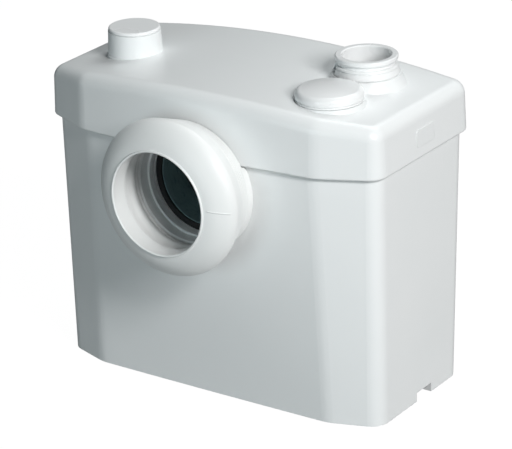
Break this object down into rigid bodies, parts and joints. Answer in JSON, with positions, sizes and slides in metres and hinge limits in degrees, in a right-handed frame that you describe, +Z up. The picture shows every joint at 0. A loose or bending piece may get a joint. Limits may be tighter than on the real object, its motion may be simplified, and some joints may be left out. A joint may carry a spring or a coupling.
{
  "type": "macerator toilet pump",
  "caption": "White floor-standing macerator pump with a crowned lid, flared rubber inlet collar, open top discharge port, blanked top inlet and vent chimney.",
  "frame": {"origin": "on the floor, below the middle of the lid's lower edge between front and back", "axes": "+X to the unit's left-to-right width seen from the front, +Y from the inlet collar to the wall behind, +Z up"},
  "size_m": [0.3298, 0.2275, 0.291],
  "materials": {
    "white_shell": "satin injection-moulded plastic",
    "white_trim": "satin injection-moulded plastic",
    "white_rubber": "soft white elastomer",
    "black_rubber": "matte moulded rubber",
    "grey_plastic": "matte moulded plastic",
    "black_plastic": "matte moulded plastic",
    "terminal_plastic": "matte moulded plastic",
    "steel": "machined steel",
    "lamination": "stacked electrical steel",
    "copper": "enamelled copper wire",
    "can": "drawn aluminium can",
    "charcoal": "pressed charcoal foam"
  },
  "bodies": {
    "tank_body": {"tank": "white_shell", "deck_gasket": "black_rubber", "deck": "grey_plastic", "deck_screws": "steel", "inlet_gaiter": "white_rubber", "inlet_seal_ring": "black_rubber", "inlet_spout": "grey_plastic", "motor_housing": "grey_plastic", "motor_end_cap": "black_plastic", "stator_core": "lamination", "stator_windings": "copper", "lower_bearing": "steel", "upper_bearing": "steel", "shaft_seal": "black_rubber", "run_capacitor": "can", "capacitor_clip": "steel", "terminal_block": "terminal_plastic", "grinder_basket": "grey_plastic", "volute_casing": "black_plastic", "suction_plate": "black_plastic", "pump_screws": "steel", "riser_pipe": "grey_plastic", "riser_grommet": "black_rubber", "valve_body": "grey_plastic", "valve_seat_seal": "black_rubber", "flap_pin": "steel", "pressure_bell": "grey_plastic", "diaphragm": "black_rubber", "diaphragm_cover": "black_plastic", "microswitch": "black_plastic"},
    "lid": {"lid": "white_shell", "discharge_sleeve": "white_trim", "clamp_band": "white_trim", "clamp_screw": "steel", "carbon_filter": "charcoal", "cord_gland": "white_trim", "gland_nut": "white_trim"},
    "vent_cap": {"vent_cap": "white_trim"},
    "blanking_cap": {"blanking_cap": "white_trim", "blanking_seal": "black_rubber"},
    "rotor": {"motor_shaft": "steel", "rotor_core": "lamination", "grinder_blade": "steel", "impeller": "grey_plastic", "impeller_nut": "steel"},
    "flap": {"valve_flap": "black_rubber"},
    "plunger": {"switch_plunger": "white_trim"},
    "lever": {"switch_lever": "steel"}
  },
  "joints": [
    {"name": "lid_lift", "type": "slide", "parent": "tank_body", "child": "lid", "axis": [0, 0, 1], "range_m": [0, 0.12]},
    {"name": "vent_cap_lift", "type": "slide", "parent": "lid", "child": "vent_cap", "axis": [0, 0, 1], "range_m": [0, 0.03]},
    {"name": "blanking_cap_lift", "type": "slide", "parent": "lid", "child": "blanking_cap", "axis": [0, 0, 1], "range_m": [0, 0.04]},
    {"name": "rotor_spin", "type": "hinge", "parent": "tank_body", "child": "rotor", "pos_m": [0.04, -0.006, 0.1], "axis": [0, 0, 1], "continuous": true},
    {"name": "flap_swing", "type": "hinge", "parent": "tank_body", "child": "flap", "pos_m": [0.101, 0.0345, 0.2357], "axis": [-1, 0, 0], "range_deg": [0, 65]},
    {"name": "plunger_rise", "type": "slide", "parent": "tank_body", "child": "plunger", "axis": [0, 0, 1], "range_m": [0, 0.003], "stiffness_N_per_m": 200, "springref_m": -0.001},
    {"name": "lever_tilt", "type": "hinge", "parent": "tank_body", "child": "lever", "pos_m": [-0.073, 0.035, 0.2328], "axis": [0, 1, 0], "range_deg": [0, 7.9]}
  ],
  "couplings": [
    {"joint": "lever_tilt", "follows": "plunger_rise", "rad_per_m": 45.45}
  ]
}
